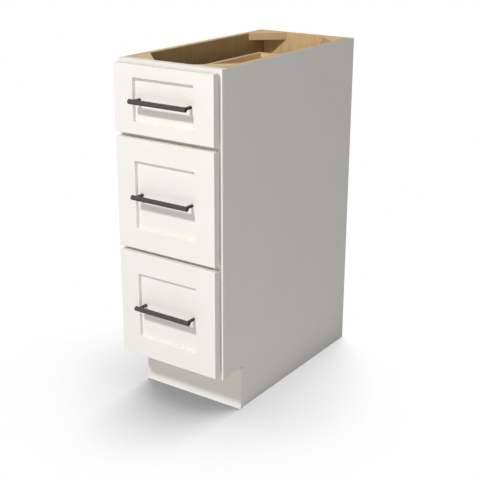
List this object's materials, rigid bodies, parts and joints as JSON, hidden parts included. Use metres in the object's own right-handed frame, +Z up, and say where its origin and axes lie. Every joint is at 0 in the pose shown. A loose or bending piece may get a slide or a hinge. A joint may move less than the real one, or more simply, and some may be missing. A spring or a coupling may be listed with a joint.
{
  "type": "base cabinet with drawers",
  "caption": "Narrow framed kitchen base cabinet in white paint, with flat-panel drawer fronts, bar pulls, dovetailed drawer boxes on side slides, a recessed toe kick and an open top.",
  "frame": {"origin": "bottom centre of the whole cabinet's box, pulls included, on the floor", "axes": "+Z up, -Y out of the drawers' fronts, +X to the right as seen from the front"},
  "size_m": [0.3048, 0.6596, 0.8763],
  "materials": {
    "white_paint": "satin white paint on wood",
    "bare_wood": "clear-lacquered plywood and solid wood",
    "slide_steel": "bright zinc-plated",
    "pull_metal": "satin dark nickel"
  },
  "bodies": {
    "cabinet": {"side_panel_left": "white_paint", "side_panel_right": "white_paint", "bottom_panel": "bare_wood", "back_panel": "bare_wood", "toe_kick_board": "white_paint", "frame_stile_left": "white_paint", "frame_stile_right": "white_paint", "frame_rail_top": "white_paint", "frame_rail_upper": "white_paint", "frame_rail_lower": "white_paint", "frame_rail_bottom": "white_paint", "corner_gusset_front_left": "bare_wood", "corner_gusset_front_right": "bare_wood", "corner_gusset_back_left": "bare_wood", "corner_gusset_back_right": "bare_wood", "top_slide_channel_left": "slide_steel", "top_slide_channel_right": "slide_steel", "middle_slide_channel_left": "slide_steel", "middle_slide_channel_right": "slide_steel", "bottom_slide_channel_left": "slide_steel", "bottom_slide_channel_right": "slide_steel"},
    "drawer_top": {"top_front_stile_left": "white_paint", "top_front_stile_right": "white_paint", "top_front_rail_top": "white_paint", "top_front_rail_bottom": "white_paint", "top_front_panel": "white_paint", "top_pull": "pull_metal", "top_box_side_left": "bare_wood", "top_box_side_right": "bare_wood", "top_box_front": "bare_wood", "top_box_back": "bare_wood", "top_box_bottom": "bare_wood", "top_slide_rail_left": "slide_steel", "top_slide_rail_right": "slide_steel"},
    "drawer_middle": {"middle_front_stile_left": "white_paint", "middle_front_stile_right": "white_paint", "middle_front_rail_top": "white_paint", "middle_front_rail_bottom": "white_paint", "middle_front_panel": "white_paint", "middle_pull": "pull_metal", "middle_box_side_left": "bare_wood", "middle_box_side_right": "bare_wood", "middle_box_front": "bare_wood", "middle_box_back": "bare_wood", "middle_box_bottom": "bare_wood", "middle_slide_rail_left": "slide_steel", "middle_slide_rail_right": "slide_steel"},
    "drawer_bottom": {"bottom_front_stile_left": "white_paint", "bottom_front_stile_right": "white_paint", "bottom_front_rail_top": "white_paint", "bottom_front_rail_bottom": "white_paint", "bottom_front_panel": "white_paint", "bottom_pull": "pull_metal", "bottom_box_side_left": "bare_wood", "bottom_box_side_right": "bare_wood", "bottom_box_front": "bare_wood", "bottom_box_back": "bare_wood", "bottom_box_bottom": "bare_wood", "bottom_slide_rail_left": "slide_steel", "bottom_slide_rail_right": "slide_steel"}
  },
  "joints": [
    {"name": "drawer_top_slide", "type": "slide", "parent": "cabinet", "child": "drawer_top", "axis": [0, -1, 0], "range_m": [0, 0.4]},
    {"name": "drawer_middle_slide", "type": "slide", "parent": "cabinet", "child": "drawer_middle", "axis": [0, -1, 0], "range_m": [0, 0.4]},
    {"name": "drawer_bottom_slide", "type": "slide", "parent": "cabinet", "child": "drawer_bottom", "axis": [0, -1, 0], "range_m": [0, 0.4]}
  ]
}
